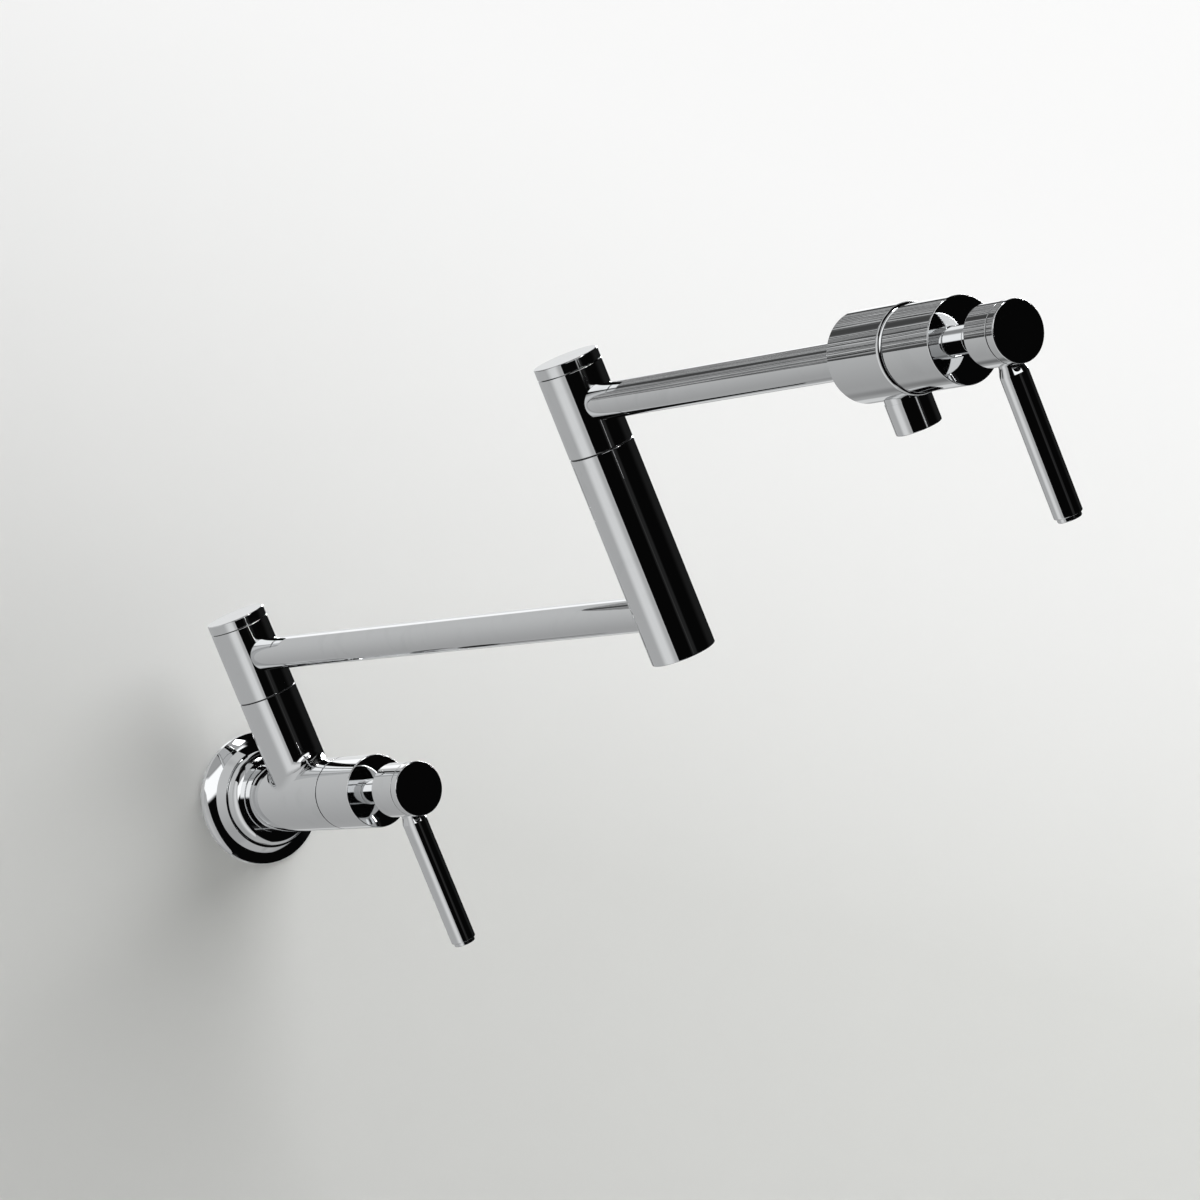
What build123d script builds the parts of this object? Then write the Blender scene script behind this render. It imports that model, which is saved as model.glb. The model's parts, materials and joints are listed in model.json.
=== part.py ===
"""Wall mounted pot filler with two folding arms and two quarter-turn valves.

All sizes are millimetres. The origin is on the wall, at the centre of the round
flange. +Z is up, +X is to the right of someone facing the wall, and the arms
reach out along -Y.
"""
from build123d import *
import os
from dataclasses import dataclass
from math import sqrt

os.makedirs("parts", exist_ok=True)

# ---------------------------------------------------------------- reach and heights
wall_to_post = 51.6         # wall to the first swivel axis
wall_to_valve_face = 118.5  # wall to the front face of the wall valve
first_reach = 370.5         # first swivel axis to the second
second_reach = 207.0        # second swivel axis to the back of the end valve
arm_height = 76.4           # axis of the wall valve up to the axis of the first arm
arm_over_seam = 20.5        # swivel seam up to the axis of the arm it carries
arm_over_foot = 20.0        # foot of the middle post up to the arm that carries it
mid_post_length = 98.0      # foot of the middle post up to its swivel seam
mid_floor = 9.0             # solid foot of the middle post under its water way
head_height = 42.4          # swivel seam up to the top of the head's cap

# ---------------------------------------------------------------- outer round sections
post_radius = 14.8
tube_radius = 7.95
tube_wall = 1.0
valve_radius = 17.9         # wall valve and both bonnet sleeves
end_body_radius = 18.9
end_body_length = 35.2
end_rounding = 2.0          # radius on the front edge of the end body
shank_radius = 13.0         # inlet shank behind the wall valve
shank_length = 17.5
saddle_fillet = 6.0         # where the post rises out of the wall valve

# ---------------------------------------------------------------- clearances and edges
fit_gap = 0.05              # radial, between pieces that are fixed together
running_gap = 0.05          # radial, between a journal and its bore
end_gap = 0.3               # along the axis, between pieces that turn past each other
lap_gap = 0.02              # between the two lapped ceramic discs
edge = 0.5                  # radius on the polished edges
seam_edge = 0.25            # radius on the two sides of a seam

# ---------------------------------------------------------------- inlet and flange
inlet_thread_radius = 9.3   # female G 1/2, minor diameter
inlet_thread_length = 14.0
water_radius = 6.0          # water way through the bodies
channel_radius = 2.8        # channel between a cartridge's windows and the way out
channel_height = 13.0       # valve axis to the channel's axis
channel_stop = 2.5          # mouth of the body to the end of the channel
post_bore_floor = 10.5
flange_radius = 33.4
flange_rim = 2.6
flange_bulge = 0.2          # how far the bell's outer band swells past a straight cone
flange_shoulder_radius = 27.9
flange_shoulder = 5.8
flange_step_radius = 25.4
flange_thickness = 11.2
collar_ring_gap = 0.5       # dark groove between the flange and its collar ring
collar_ring_radius = 24.4
collar_ring_front_radius = 20.5
collar_ring_bulge = 1.0
gasket_outer_radius = 31.0
gasket_inner_radius = 26.0
gasket_thickness = 2.0

# ---------------------------------------------------------------- swivel between post and head
seam_gap = 0.6              # height of the seam, filled by the thrust washer
socket_radius = 8.0         # threaded socket in the top of each post
socket_depth = 16.0
journal_radius = 9.0
journal_height = 32.0
waist_radius = 7.0          # waist that feeds the arm at any angle
waist_low = 13.0
waist_high = 28.0
spindle_bore_radius = 5.0
port_radius = 2.6
boss_radius = 4.0
web_height = 32.3           # underside of the web that holds the head down
web_thickness = 2.7
ring_section = 1.1          # radius of a swivel O-ring's section
ring_low = 6.5
ring_high = 30.2
groove_depth = 2.3
groove_width = 2.6
bolt_radius = 2.5
bolt_flange_radius = 7.0
bolt_flange = 1.2
bolt_head_radius = 4.5
bolt_head = 2.2
bolt_length = 8.0
cavity_radius = 10.0        # space for the bolt under the cap
cap_thickness = 4.8
cap_seam = 0.3
cap_skirt = 1.6
cap_recess_radius = 8.2
cap_recess = 1.8
tube_seat = 9.8             # swivel axis to the end of a tube in its socket
tube_socket_depth = 8.0     # in the back of the end valve

# ---------------------------------------------------------------- quarter-turn cartridge
pocket_radius = 11.0        # bore in the body that takes the cartridge
pocket_depth = 14.0         # behind the mouth of the body
spigot_radius = 14.6        # threaded spigot that carries nut and sleeve
spigot_length = 22.0
seal_thickness = 2.2
seal_radius = 9.0
disc_radius = 9.3
disc_thickness = 3.0
disc_port_radius = 2.4
disc_port_offset = 5.0
tang_width = 4.0
tang_length = 15.0
tang_height = 1.4
skirt_radius = 9.5          # inside of the housing's skirt
skirt_height = 12.0
window_width = 7.0
window_height = 3.6
stem_flange_radius = 8.6
stem_radius = 4.5
nose_radius = 6.5
nose_length = 4.0           # housing nose beyond the spigot
nut_flats = 22.0
nut_thread = 6.0
nut_head = 3.0
stem_ring_section = 0.6
stem_ring_first = 4.0
stem_ring_second = 9.0
stem_groove_width = 1.5
drive_square = 6.0
drive_length = 14.5
tapped_radius = 2.0
tapped_depth = 10.0

# ---------------------------------------------------------------- bonnet sleeve and its seam
sleeve_seam = 0.9           # black groove between body and sleeve
seam_ring_recess = 0.6
sleeve_reach = 31.0         # mouth of the body to the sleeve's front face
sleeve_face = 3.0
neck_radius = 6.2
neck_wall = 1.4
neck_length = 6.3

# ---------------------------------------------------------------- handle
collar_radius = 6.4
collar_length = 9.2
wall_knob_radius = 13.3
wall_knob_length = 17.7
end_knob_radius = 12.7
end_knob_length = 13.9
knob_cap_thickness = 4.5
knob_cap_seam = 0.4
knob_recess_radius = 6.8
screw_land = 2.7            # end of the square bore to the seat of the screw
screw_radius = 1.9
screw_head_radius = 3.9
screw_head = 2.6
screw_length = 9.0
hex_socket_radius = 1.7
hex_socket_depth = 1.3
cap_plug = 2.2
lever_setback = 6.4         # back of the knob to the lever's axis
wall_lever_radius = 6.15
wall_lever_end = 82.5       # valve axis to the tip of the lever
end_lever_radius = 6.0
end_lever_end = 78.0
lever_shoulder = 11.0       # valve axis to the top of the rod, sunk into the knob
lever_neck_step = 1.1       # the neck is this much thinner than the rod, in radius
lever_taper = 3.5           # the rod widens from its neck over this length
stud_radius = 3.0
stud_top = 8.2
tip_step = 0.9              # the button is this much thinner than the rod, in radius
tip_height = 1.8
tip_plug_radius = 2.5
tip_plug_length = 6.0

# ---------------------------------------------------------------- outlet
outlet_setback = 17.35      # back of the end valve to the outlet's axis
outlet_radius = 9.8
outlet_drop = 32.4          # valve axis down to the outlet's mouth
outlet_relief = 0.3         # the spout's root is this much thinner and clears the body by as much
outlet_thread_radius = 8.0
outlet_chamber_top = 9.6    # valve axis down to the roof of the chamber
outlet_bore_radius = 5.6
aerator_radius = 8.0
aerator_height = 8.0
aerator_recess = 0.8
aerator_wall = 1.3
washer_thickness = 1.5
mesh_height = 3.0
mesh_hole_radius = 0.55
mesh_ring_radius = 3.9

# ---------------------------------------------------------------- planes worked out from the above
wall_mouth_reach = wall_to_valve_face - sleeve_reach
second_axis_reach = wall_to_post + first_reach
end_back_reach = second_axis_reach + second_reach
first_seam_height = arm_height - arm_over_seam
mid_foot_height = arm_height - arm_over_foot
second_seam_height = mid_foot_height + mid_post_length
end_valve_height = second_seam_height + arm_over_seam
cap_seam_height = head_height - cap_thickness

outward = Plane((0, 0, 0), x_dir=(1, 0, 0), z_dir=(0, -1, 0))
wall_mouth = outward.offset(wall_mouth_reach)
end_back = Plane((0, -end_back_reach, end_valve_height), x_dir=(1, 0, 0), z_dir=(0, -1, 0))
end_mouth = end_back.offset(end_body_length)
first_seam = Plane((0, -wall_to_post, first_seam_height))
second_seam = Plane((0, -second_axis_reach, second_seam_height))
outlet_mouth = Plane((0, -end_back_reach - outlet_setback, end_valve_height - outlet_drop))


def turn(plane, corners, rounded=(), rims=()):
    """Turn a half outline of (radius, distance) corners about the plane's normal.

    Corners named in rounded get the radius of a polished edge, those in rims that of a seam.
    """
    half = Plane(plane.origin, x_dir=plane.x_dir, z_dir=-plane.y_dir)
    with BuildSketch(half) as outline:
        with BuildLine():
            Polyline(*corners, close=True)
        make_face()
        for corner in rounded:
            fillet(outline.vertices().sort_by_distance(corner)[0], radius=edge)
        for corner in rims:
            fillet(outline.vertices().sort_by_distance(corner)[0], radius=seam_edge)
    revolve(outline.sketch, axis=Axis(plane.origin, plane.z_dir))


def save(piece, name):
    """Label a finished piece and write it to its own file."""
    piece.part.label = name
    export_step(piece.part, f"parts/{name}.step")


def o_ring(plane, heights, floor_radius, section):
    """Rubber rings that lie in grooves, one at each height over the plane."""
    half = Plane(plane.origin, x_dir=plane.x_dir, z_dir=-plane.y_dir)
    with BuildPart() as rings:
        with BuildSketch(half) as sections:
            with Locations([(floor_radius + section, height) for height in heights]):
                Circle(section)
        revolve(axis=Axis(plane.origin, plane.z_dir))
    return rings


# ================================================================ valves
# Distances along a valve's axis from the mouth of its body.
pocket_floor = -pocket_depth
fixed_disc_base = pocket_floor + seal_thickness
turning_disc_base = fixed_disc_base + disc_thickness + lap_gap
stem_base = turning_disc_base + disc_thickness
skirt_roof = pocket_floor + skirt_height
nut_shoulder = spigot_length - nut_thread
nose_end = spigot_length + nose_length
drive_start = sleeve_reach + neck_length + end_gap
drive_end = drive_start + drive_length
knob_back = drive_start + collar_length
screw_seat = drive_end + screw_land


@dataclass
class Handle:
    """Sizes in which the two handles differ."""

    knob_radius: float
    knob_length: float
    lever_radius: float
    lever_end: float

    @property
    def knob_front(self):
        return knob_back + self.knob_length

    @property
    def rod_end(self):
        return self.lever_end - tip_height


wall_handle = Handle(wall_knob_radius, wall_knob_length, wall_lever_radius, wall_lever_end)
end_handle = Handle(end_knob_radius, end_knob_length, end_lever_radius, end_lever_end)


def seat_seal(mouth):
    """Rubber ring between the floor of the pocket and the fixed disc."""
    with BuildPart() as seal:
        with BuildSketch(mouth.offset(pocket_floor)):
            Circle(seal_radius)
            Circle(water_radius, mode=Mode.SUBTRACT)
        extrude(amount=seal_thickness)
    return seal


def ceramic_disc(base, slotted):
    """Lapped disc with two ports, and with a slot for the stem's tang if it turns."""
    with BuildPart() as disc:
        with BuildSketch(base):
            Circle(disc_radius)
            with PolarLocations(disc_port_offset, 2):
                Circle(disc_port_radius, mode=Mode.SUBTRACT)
        extrude(amount=disc_thickness)
        if slotted:
            with BuildSketch(base.offset(disc_thickness)):
                Rectangle(tang_width + 2 * fit_gap, 2 * disc_radius)
            extrude(amount=-tang_height - fit_gap, mode=Mode.SUBTRACT)
    return disc


def cartridge_housing(mouth):
    """Brass housing: a skirt with windows round the discs, and a nose round the stem."""
    outside = pocket_radius - fit_gap
    bore = stem_radius + running_gap
    with BuildPart() as housing:
        turn(mouth, [
            (skirt_radius, pocket_floor),
            (outside, pocket_floor),
            (outside, nut_shoulder),
            (nose_radius, nut_shoulder),
            (nose_radius, nose_end),
            (bore, nose_end),
            (bore, skirt_roof),
            (skirt_radius, skirt_roof),
        ])
        with BuildSketch(mouth.offset(skirt_roof - window_height)):
            Rectangle(window_width, 3 * outside)
        extrude(amount=window_height, mode=Mode.SUBTRACT)
    return housing


def cartridge_nut(mouth):
    """Brass nut that holds the housing down in the spigot."""
    with BuildPart() as nut:
        with BuildSketch(mouth.offset(nut_shoulder)):
            Circle(pocket_radius - fit_gap)
            Circle(nose_radius + fit_gap, mode=Mode.SUBTRACT)
        extrude(amount=nut_thread)
        with BuildSketch(mouth.offset(spigot_length)):
            RegularPolygon(nut_flats / 2, 6, major_radius=False)
            Circle(nose_radius + fit_gap, mode=Mode.SUBTRACT)
        extrude(amount=nut_head)
    return nut


def seam_ring(mouth):
    """Black ring in the groove between body and sleeve."""
    with BuildPart() as ring:
        with BuildSketch(mouth):
            Circle(valve_radius - seam_ring_recess)
            Circle(spigot_radius + fit_gap, mode=Mode.SUBTRACT)
        extrude(amount=sleeve_seam)
    return ring


def bonnet_sleeve(mouth):
    """Polished sleeve that hides spigot and nut, with a neck for the stem."""
    inside = spigot_radius + fit_gap
    neck_bore = neck_radius - neck_wall
    back_corner = (valve_radius, sleeve_seam)
    face_corner = (valve_radius, sleeve_reach)
    neck_corner = (neck_radius, sleeve_reach + neck_length)
    with BuildPart() as sleeve:
        turn(mouth, [
            (inside, sleeve_seam),
            back_corner,
            face_corner,
            (neck_radius, sleeve_reach),
            neck_corner,
            (neck_bore, sleeve_reach + neck_length),
            (neck_bore, sleeve_reach - sleeve_face),
            (inside, sleeve_reach - sleeve_face),
        ], rounded=[face_corner], rims=[back_corner, neck_corner])
    return sleeve


def valve_stem(mouth):
    """Brass stem: tang in the turning disc, grooved shaft, square drive, tapped end."""
    groove_floor = stem_radius - 2 * stem_ring_section
    half_groove = stem_groove_width / 2
    outline = [
        (0, stem_base),
        (stem_flange_radius, stem_base),
        (stem_flange_radius, skirt_roof - end_gap),
        (stem_radius, skirt_roof - end_gap),
    ]
    for centre in (stem_ring_first, stem_ring_second):
        outline += [
            (stem_radius, centre - half_groove),
            (groove_floor, centre - half_groove),
            (groove_floor, centre + half_groove),
            (stem_radius, centre + half_groove),
        ]
    outline += [(stem_radius, drive_start), (0, drive_start)]
    with BuildPart() as stem:
        turn(mouth, outline)
        with BuildSketch(mouth.offset(stem_base)):
            Rectangle(tang_width, tang_length)
        extrude(amount=-tang_height)
        with BuildSketch(mouth.offset(drive_start)):
            Rectangle(drive_square, drive_square)
        extrude(amount=drive_length)
        with BuildSketch(mouth.offset(drive_end)):
            Circle(tapped_radius)
        extrude(amount=-tapped_depth, mode=Mode.SUBTRACT)
    return stem


def knob(mouth, handle):
    """Hub with a collar, a square bore, a recess for the screw and a hole for the lever."""
    radius = handle.knob_radius
    front = handle.knob_front
    collar_corner = (collar_radius, drive_start)
    back_corner = (radius, knob_back)
    seam_corner = (radius, front)
    with BuildPart() as hub:
        turn(mouth, [
            (0, drive_start),
            collar_corner,
            (collar_radius, knob_back),
            back_corner,
            seam_corner,
            (knob_recess_radius, front),
            (knob_recess_radius, screw_seat),
            (0, screw_seat),
        ], rounded=[back_corner], rims=[collar_corner, seam_corner])
        with BuildSketch(mouth.offset(drive_start)):
            Rectangle(drive_square + 2 * fit_gap, drive_square + 2 * fit_gap)
        extrude(amount=drive_length + fit_gap, mode=Mode.SUBTRACT)
        with BuildSketch(mouth.offset(screw_seat)):
            Circle(screw_radius + fit_gap)
        extrude(amount=drive_end - screw_seat, mode=Mode.SUBTRACT)
        with BuildSketch(lever_plane(mouth).offset(stud_top - fit_gap)):
            Circle(stud_radius + fit_gap)
        extrude(amount=radius, mode=Mode.SUBTRACT)
        with BuildSketch(lever_plane(mouth).offset(lever_shoulder - fit_gap)):
            Circle(handle.lever_radius - lever_neck_step + fit_gap)
        extrude(amount=radius, mode=Mode.SUBTRACT)
    return hub


def knob_screw(mouth):
    """Socket screw that pulls the knob onto the stem."""
    with BuildPart() as screw:
        turn(mouth, [
            (0, screw_seat - screw_length),
            (screw_radius, screw_seat - screw_length),
            (screw_radius, screw_seat),
            (screw_head_radius, screw_seat),
            (screw_head_radius, screw_seat + screw_head),
            (0, screw_seat + screw_head),
        ])
        with BuildSketch(mouth.offset(screw_seat + screw_head)):
            RegularPolygon(hex_socket_radius, 6)
        extrude(amount=-hex_socket_depth, mode=Mode.SUBTRACT)
    return screw


def knob_cap(mouth, handle):
    """Polished cap with a plug that snaps into the knob's recess."""
    radius = handle.knob_radius
    back = handle.knob_front + knob_cap_seam
    front = back + knob_cap_thickness
    plug_radius = knob_recess_radius - fit_gap
    plug_end = handle.knob_front - cap_plug
    with BuildPart() as cap:
        turn(mouth, [
            (0, plug_end),
            (plug_radius, plug_end),
            (plug_radius, back),
            (radius, back),
            (radius, front),
            (0, front),
        ], rounded=[(radius, front)], rims=[(radius, back)])
    return cap


def lever_plane(mouth):
    """Plane on the valve's axis where the lever crosses it, facing down."""
    centre = mouth.offset(knob_back + lever_setback).origin
    return Plane(centre, x_dir=(1, 0, 0), z_dir=(0, 0, -1))


def lever(mouth, handle):
    """Round rod with a threaded stud and a neck at the top, and a drilled hole at the bottom."""
    radius = handle.lever_radius
    neck = radius - lever_neck_step
    taper_start = handle.knob_radius + fit_gap
    rod_end = handle.rod_end
    hole_radius = tip_plug_radius + fit_gap
    hole_end = rod_end - tip_plug_length - edge
    with BuildPart() as rod:
        turn(lever_plane(mouth), [
            (0, stud_top),
            (stud_radius, stud_top),
            (stud_radius, lever_shoulder),
            (neck, lever_shoulder),
            (neck, taper_start),
            (radius, taper_start + lever_taper),
            (radius, rod_end),
            (hole_radius, rod_end),
            (hole_radius, hole_end),
            (0, hole_end),
        ], rounded=[(radius, rod_end)])
    return rod


def lever_tip(mouth, handle):
    """Small stepped button pressed into the end of the rod."""
    rod_end = handle.rod_end
    button_radius = handle.lever_radius - tip_step
    with BuildPart() as tip:
        turn(lever_plane(mouth), [
            (0, rod_end - tip_plug_length),
            (tip_plug_radius, rod_end - tip_plug_length),
            (tip_plug_radius, rod_end),
            (button_radius, rod_end),
            (button_radius, handle.lever_end),
            (0, handle.lever_end),
        ], rounded=[(button_radius, handle.lever_end)])
    return tip


def make_valve(mouth, prefix, handle):
    """Write the pieces of one quarter-turn valve and its handle."""
    fixed_base = mouth.offset(fixed_disc_base)
    turning_base = mouth.offset(turning_disc_base)
    ring_floor = stem_radius - 2 * stem_ring_section
    ring_heights = (stem_ring_first, stem_ring_second)
    save(seat_seal(mouth), f"{prefix}_seat_seal")
    save(ceramic_disc(fixed_base, slotted=False), f"{prefix}_fixed_disc")
    save(ceramic_disc(turning_base, slotted=True), f"{prefix}_turning_disc")
    save(cartridge_housing(mouth), f"{prefix}_cartridge_housing")
    save(cartridge_nut(mouth), f"{prefix}_cartridge_nut")
    save(seam_ring(mouth), f"{prefix}_seam_ring")
    save(bonnet_sleeve(mouth), f"{prefix}_bonnet_sleeve")
    save(valve_stem(mouth), f"{prefix}_valve_stem")
    save(o_ring(mouth, ring_heights, ring_floor, stem_ring_section), f"{prefix}_stem_o_rings")
    save(knob(mouth, handle), f"{prefix}_knob")
    save(knob_screw(mouth), f"{prefix}_knob_screw")
    save(knob_cap(mouth, handle), f"{prefix}_knob_cap")
    save(lever(mouth, handle), f"{prefix}_lever")
    save(lever_tip(mouth, handle), f"{prefix}_lever_tip")


# ================================================================ swivels
def thrust_washer(seam):
    """Plastic washer that fills the seam and carries the head."""
    with BuildPart() as washer:
        with BuildSketch(seam.offset(-seam_gap / 2)):
            Circle(post_radius - edge)
            Circle(journal_radius + fit_gap, mode=Mode.SUBTRACT)
        extrude(amount=seam_gap - running_gap)
    return washer


def spindle(seam):
    """Brass spindle: threaded root, grooved journals, waist with ports, top boss."""
    bottom = -seam_gap / 2
    groove_floor = journal_radius - groove_depth
    half_groove = groove_width / 2
    top = web_height + web_thickness + end_gap
    outline = [
        (0, bottom - socket_depth + end_gap),
        (socket_radius - fit_gap, bottom - socket_depth + end_gap),
        (socket_radius - fit_gap, bottom),
        (journal_radius, bottom),
        (journal_radius, ring_low - half_groove),
        (groove_floor, ring_low - half_groove),
        (groove_floor, ring_low + half_groove),
        (journal_radius, ring_low + half_groove),
        (journal_radius, waist_low),
        (waist_radius, waist_low),
        (waist_radius, waist_high),
        (journal_radius, waist_high),
        (journal_radius, ring_high - half_groove),
        (groove_floor, ring_high - half_groove),
        (groove_floor, ring_high + half_groove),
        (journal_radius, ring_high + half_groove),
        (journal_radius, journal_height),
        (boss_radius, journal_height),
        (boss_radius, top),
        (0, top),
    ]
    with BuildPart() as shaft:
        turn(seam, outline)
        with BuildSketch(seam.offset(bottom - socket_depth)):
            Circle(spindle_bore_radius)
        extrude(amount=socket_depth + waist_high - spindle_bore_radius / 2, mode=Mode.SUBTRACT)
        with BuildSketch(seam.offset(top)):
            Circle(bolt_radius + fit_gap)
        extrude(amount=-bolt_length - edge, mode=Mode.SUBTRACT)
        for sideways in (Vector(1, 0, 0), Vector(0, 1, 0)):
            port_centre = seam.offset(arm_over_seam).origin
            with BuildSketch(Plane(port_centre, z_dir=sideways)):
                Circle(port_radius)
            extrude(amount=journal_radius, both=True, mode=Mode.SUBTRACT)
    return shaft


def swivel_bolt(seam):
    """Flanged bolt that keeps the head on its spindle."""
    seat = web_height + web_thickness + end_gap
    with BuildPart() as bolt:
        turn(seam, [
            (0, seat - bolt_length),
            (bolt_radius, seat - bolt_length),
            (bolt_radius, seat),
            (bolt_flange_radius, seat),
            (bolt_flange_radius, seat + bolt_flange),
            (bolt_head_radius, seat + bolt_flange),
            (bolt_head_radius, seat + bolt_flange + bolt_head),
            (0, seat + bolt_flange + bolt_head),
        ])
        with BuildSketch(seam.offset(seat + bolt_flange + bolt_head)):
            RegularPolygon(bolt_radius, 6)
        extrude(amount=-bolt_head, mode=Mode.SUBTRACT)
    return bolt


def swivel_head(seam):
    """Turning head: journal bore, web, cavity for the bolt and side socket for the arm."""
    bottom = seam_gap / 2
    web_top = web_height + web_thickness
    arm_plane = Plane(seam.offset(arm_over_seam).origin, x_dir=(1, 0, 0), z_dir=(0, -1, 0))
    bottom_corner = (post_radius, bottom)
    top_corner = (post_radius, cap_seam_height - cap_seam)
    with BuildPart() as head:
        turn(seam, [
            (journal_radius + running_gap, bottom),
            bottom_corner,
            top_corner,
            (cavity_radius, cap_seam_height - cap_seam),
            (cavity_radius, web_top),
            (boss_radius + 2 * running_gap, web_top),
            (boss_radius + 2 * running_gap, web_height),
            (journal_radius + running_gap, web_height),
        ], rims=[bottom_corner, top_corner])
        with BuildSketch(arm_plane.offset(tube_seat)):
            Circle(tube_radius + fit_gap)
        extrude(amount=post_radius, mode=Mode.SUBTRACT)
        with BuildSketch(arm_plane):
            Circle(tube_radius - tube_wall)
        extrude(amount=post_radius, mode=Mode.SUBTRACT)
    return head


def head_cap(seam):
    """Polished cap with a skirt that presses into the head's cavity."""
    base = cap_seam_height
    skirt_bottom = base - cap_seam - cap_skirt
    with BuildPart() as cap:
        turn(seam, [
            (cap_recess_radius, skirt_bottom),
            (cavity_radius - fit_gap, skirt_bottom),
            (cavity_radius - fit_gap, base),
            (post_radius, base),
            (post_radius, head_height),
            (0, head_height),
            (0, base + cap_recess),
            (cap_recess_radius, base + cap_recess),
        ], rounded=[(post_radius, head_height)], rims=[(post_radius, base)])
    return cap


def make_swivel(seam, prefix):
    """Write the pieces of one swivel, from the washer in its seam to its cap."""
    ring_floor = journal_radius - 2 * ring_section - running_gap
    save(thrust_washer(seam), f"{prefix}_thrust_washer")
    save(spindle(seam), f"{prefix}_spindle")
    save(o_ring(seam, (ring_low, ring_high), ring_floor, ring_section), f"{prefix}_o_rings")
    save(swivel_bolt(seam), f"{prefix}_bolt")
    save(swivel_head(seam), f"{prefix}_head")
    save(head_cap(seam), f"{prefix}_head_cap")


# ================================================================ wall side
half_outward = Plane(outward.origin, x_dir=outward.x_dir, z_dir=-outward.y_dir)
flange_bore = shank_radius + fit_gap
with BuildPart() as wall_flange:
    with BuildSketch(half_outward):
        with BuildLine():
            back_and_bore = Polyline(
                (flange_radius, flange_rim),
                (flange_radius, 0),
                (gasket_outer_radius, 0),
                (gasket_outer_radius, gasket_thickness),
                (gasket_inner_radius, gasket_thickness),
                (gasket_inner_radius, 0),
                (flange_bore, 0),
                (flange_bore, flange_thickness),
                (flange_step_radius, flange_thickness),
                (flange_shoulder_radius, flange_shoulder),
            )
            SagittaArc(back_and_bore @ 0, back_and_bore @ 1, -flange_bulge)
        make_face()
    revolve(axis=Axis(outward.origin, outward.z_dir))
save(wall_flange, "wall_flange")

with BuildPart() as flange_gasket:
    with BuildSketch(outward):
        Circle(gasket_outer_radius - fit_gap)
        Circle(gasket_inner_radius + fit_gap, mode=Mode.SUBTRACT)
    extrude(amount=gasket_thickness)
save(flange_gasket, "flange_gasket")

ring_back = flange_thickness + collar_ring_gap
ring_front = shank_length - end_gap
with BuildPart() as flange_collar:
    with BuildSketch(half_outward):
        with BuildLine():
            front_and_bore = Polyline(
                (collar_ring_front_radius, ring_front),
                (flange_bore, ring_front),
                (flange_bore, flange_thickness),
                (collar_ring_front_radius, flange_thickness),
                (collar_ring_front_radius, ring_back),
                (collar_ring_radius, ring_back),
            )
            SagittaArc(front_and_bore @ 1, front_and_bore @ 0, -collar_ring_bulge)
        make_face()
    revolve(axis=Axis(outward.origin, outward.z_dir))
save(flange_collar, "flange_collar")

channel_end = wall_mouth_reach - channel_stop
with BuildPart() as wall_valve_body:
    turn(outward, [
        (0, 0),
        (shank_radius, 0),
        (shank_radius, shank_length),
        (valve_radius, shank_length),
        (valve_radius, wall_mouth_reach),
        (spigot_radius, wall_mouth_reach),
        (spigot_radius, wall_mouth_reach + spigot_length),
        (0, wall_mouth_reach + spigot_length),
    ], rounded=[(valve_radius, shank_length)], rims=[(valve_radius, wall_mouth_reach)])
    with BuildSketch(Plane((0, -wall_to_post, 0))):
        Circle(post_radius)
    extrude(amount=first_seam_height - seam_gap / 2)
    saddle = wall_valve_body.edges().filter_by(GeomType.BSPLINE)
    fillet(saddle, radius=saddle_fillet)
    with BuildSketch(outward):
        Circle(inlet_thread_radius)
    extrude(amount=inlet_thread_length, mode=Mode.SUBTRACT)
    with BuildSketch(outward):
        Circle(water_radius)
    extrude(amount=wall_mouth_reach, mode=Mode.SUBTRACT)
    with BuildSketch(wall_mouth.offset(-pocket_depth)):
        Circle(pocket_radius)
    extrude(amount=pocket_depth + spigot_length, mode=Mode.SUBTRACT)
    with BuildSketch(first_seam.offset(-seam_gap / 2)):
        Circle(socket_radius)
    extrude(amount=-socket_depth, mode=Mode.SUBTRACT)
    with BuildSketch(Plane((0, -wall_to_post, post_bore_floor))):
        Circle(spindle_bore_radius)
    extrude(amount=first_seam_height - post_bore_floor - seam_gap, mode=Mode.SUBTRACT)
    with BuildSketch(outward.offset(wall_to_post)):
        with Locations((0, channel_height)):
            Circle(channel_radius)
    extrude(amount=channel_end - wall_to_post, mode=Mode.SUBTRACT)
save(wall_valve_body, "wall_valve_body")

make_valve(wall_mouth, "wall", wall_handle)
make_swivel(first_seam, "inner")

# ================================================================ arms and middle post
inner_arm = Plane((0, -wall_to_post, arm_height), x_dir=(1, 0, 0), z_dir=(0, -1, 0))
outer_arm = Plane((0, -second_axis_reach, end_valve_height), x_dir=(1, 0, 0), z_dir=(0, -1, 0))

with BuildPart() as inner_arm_tube:
    with BuildSketch(inner_arm.offset(tube_seat)):
        Circle(tube_radius)
        Circle(tube_radius - tube_wall, mode=Mode.SUBTRACT)
    extrude(amount=first_reach - 2 * tube_seat)
save(inner_arm_tube, "inner_arm_tube")

with BuildPart() as middle_post:
    foot = Plane((0, -second_axis_reach, mid_foot_height))
    post_top = mid_post_length - seam_gap / 2
    turn(foot, [
        (0, 0),
        (post_radius, 0),
        (post_radius, post_top),
        (socket_radius, post_top),
        (socket_radius, post_top - socket_depth),
        (waist_radius, post_top - socket_depth),
        (waist_radius, mid_floor),
        (0, mid_floor),
    ], rounded=[(post_radius, 0)], rims=[(post_radius, post_top)])
    with BuildSketch(inner_arm.offset(first_reach - tube_seat)):
        Circle(tube_radius + fit_gap)
    extrude(amount=-post_radius, mode=Mode.SUBTRACT)
    with BuildSketch(inner_arm.offset(first_reach)):
        Circle(tube_radius - tube_wall)
    extrude(amount=-post_radius, mode=Mode.SUBTRACT)
save(middle_post, "middle_post")

make_swivel(second_seam, "outer")

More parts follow.
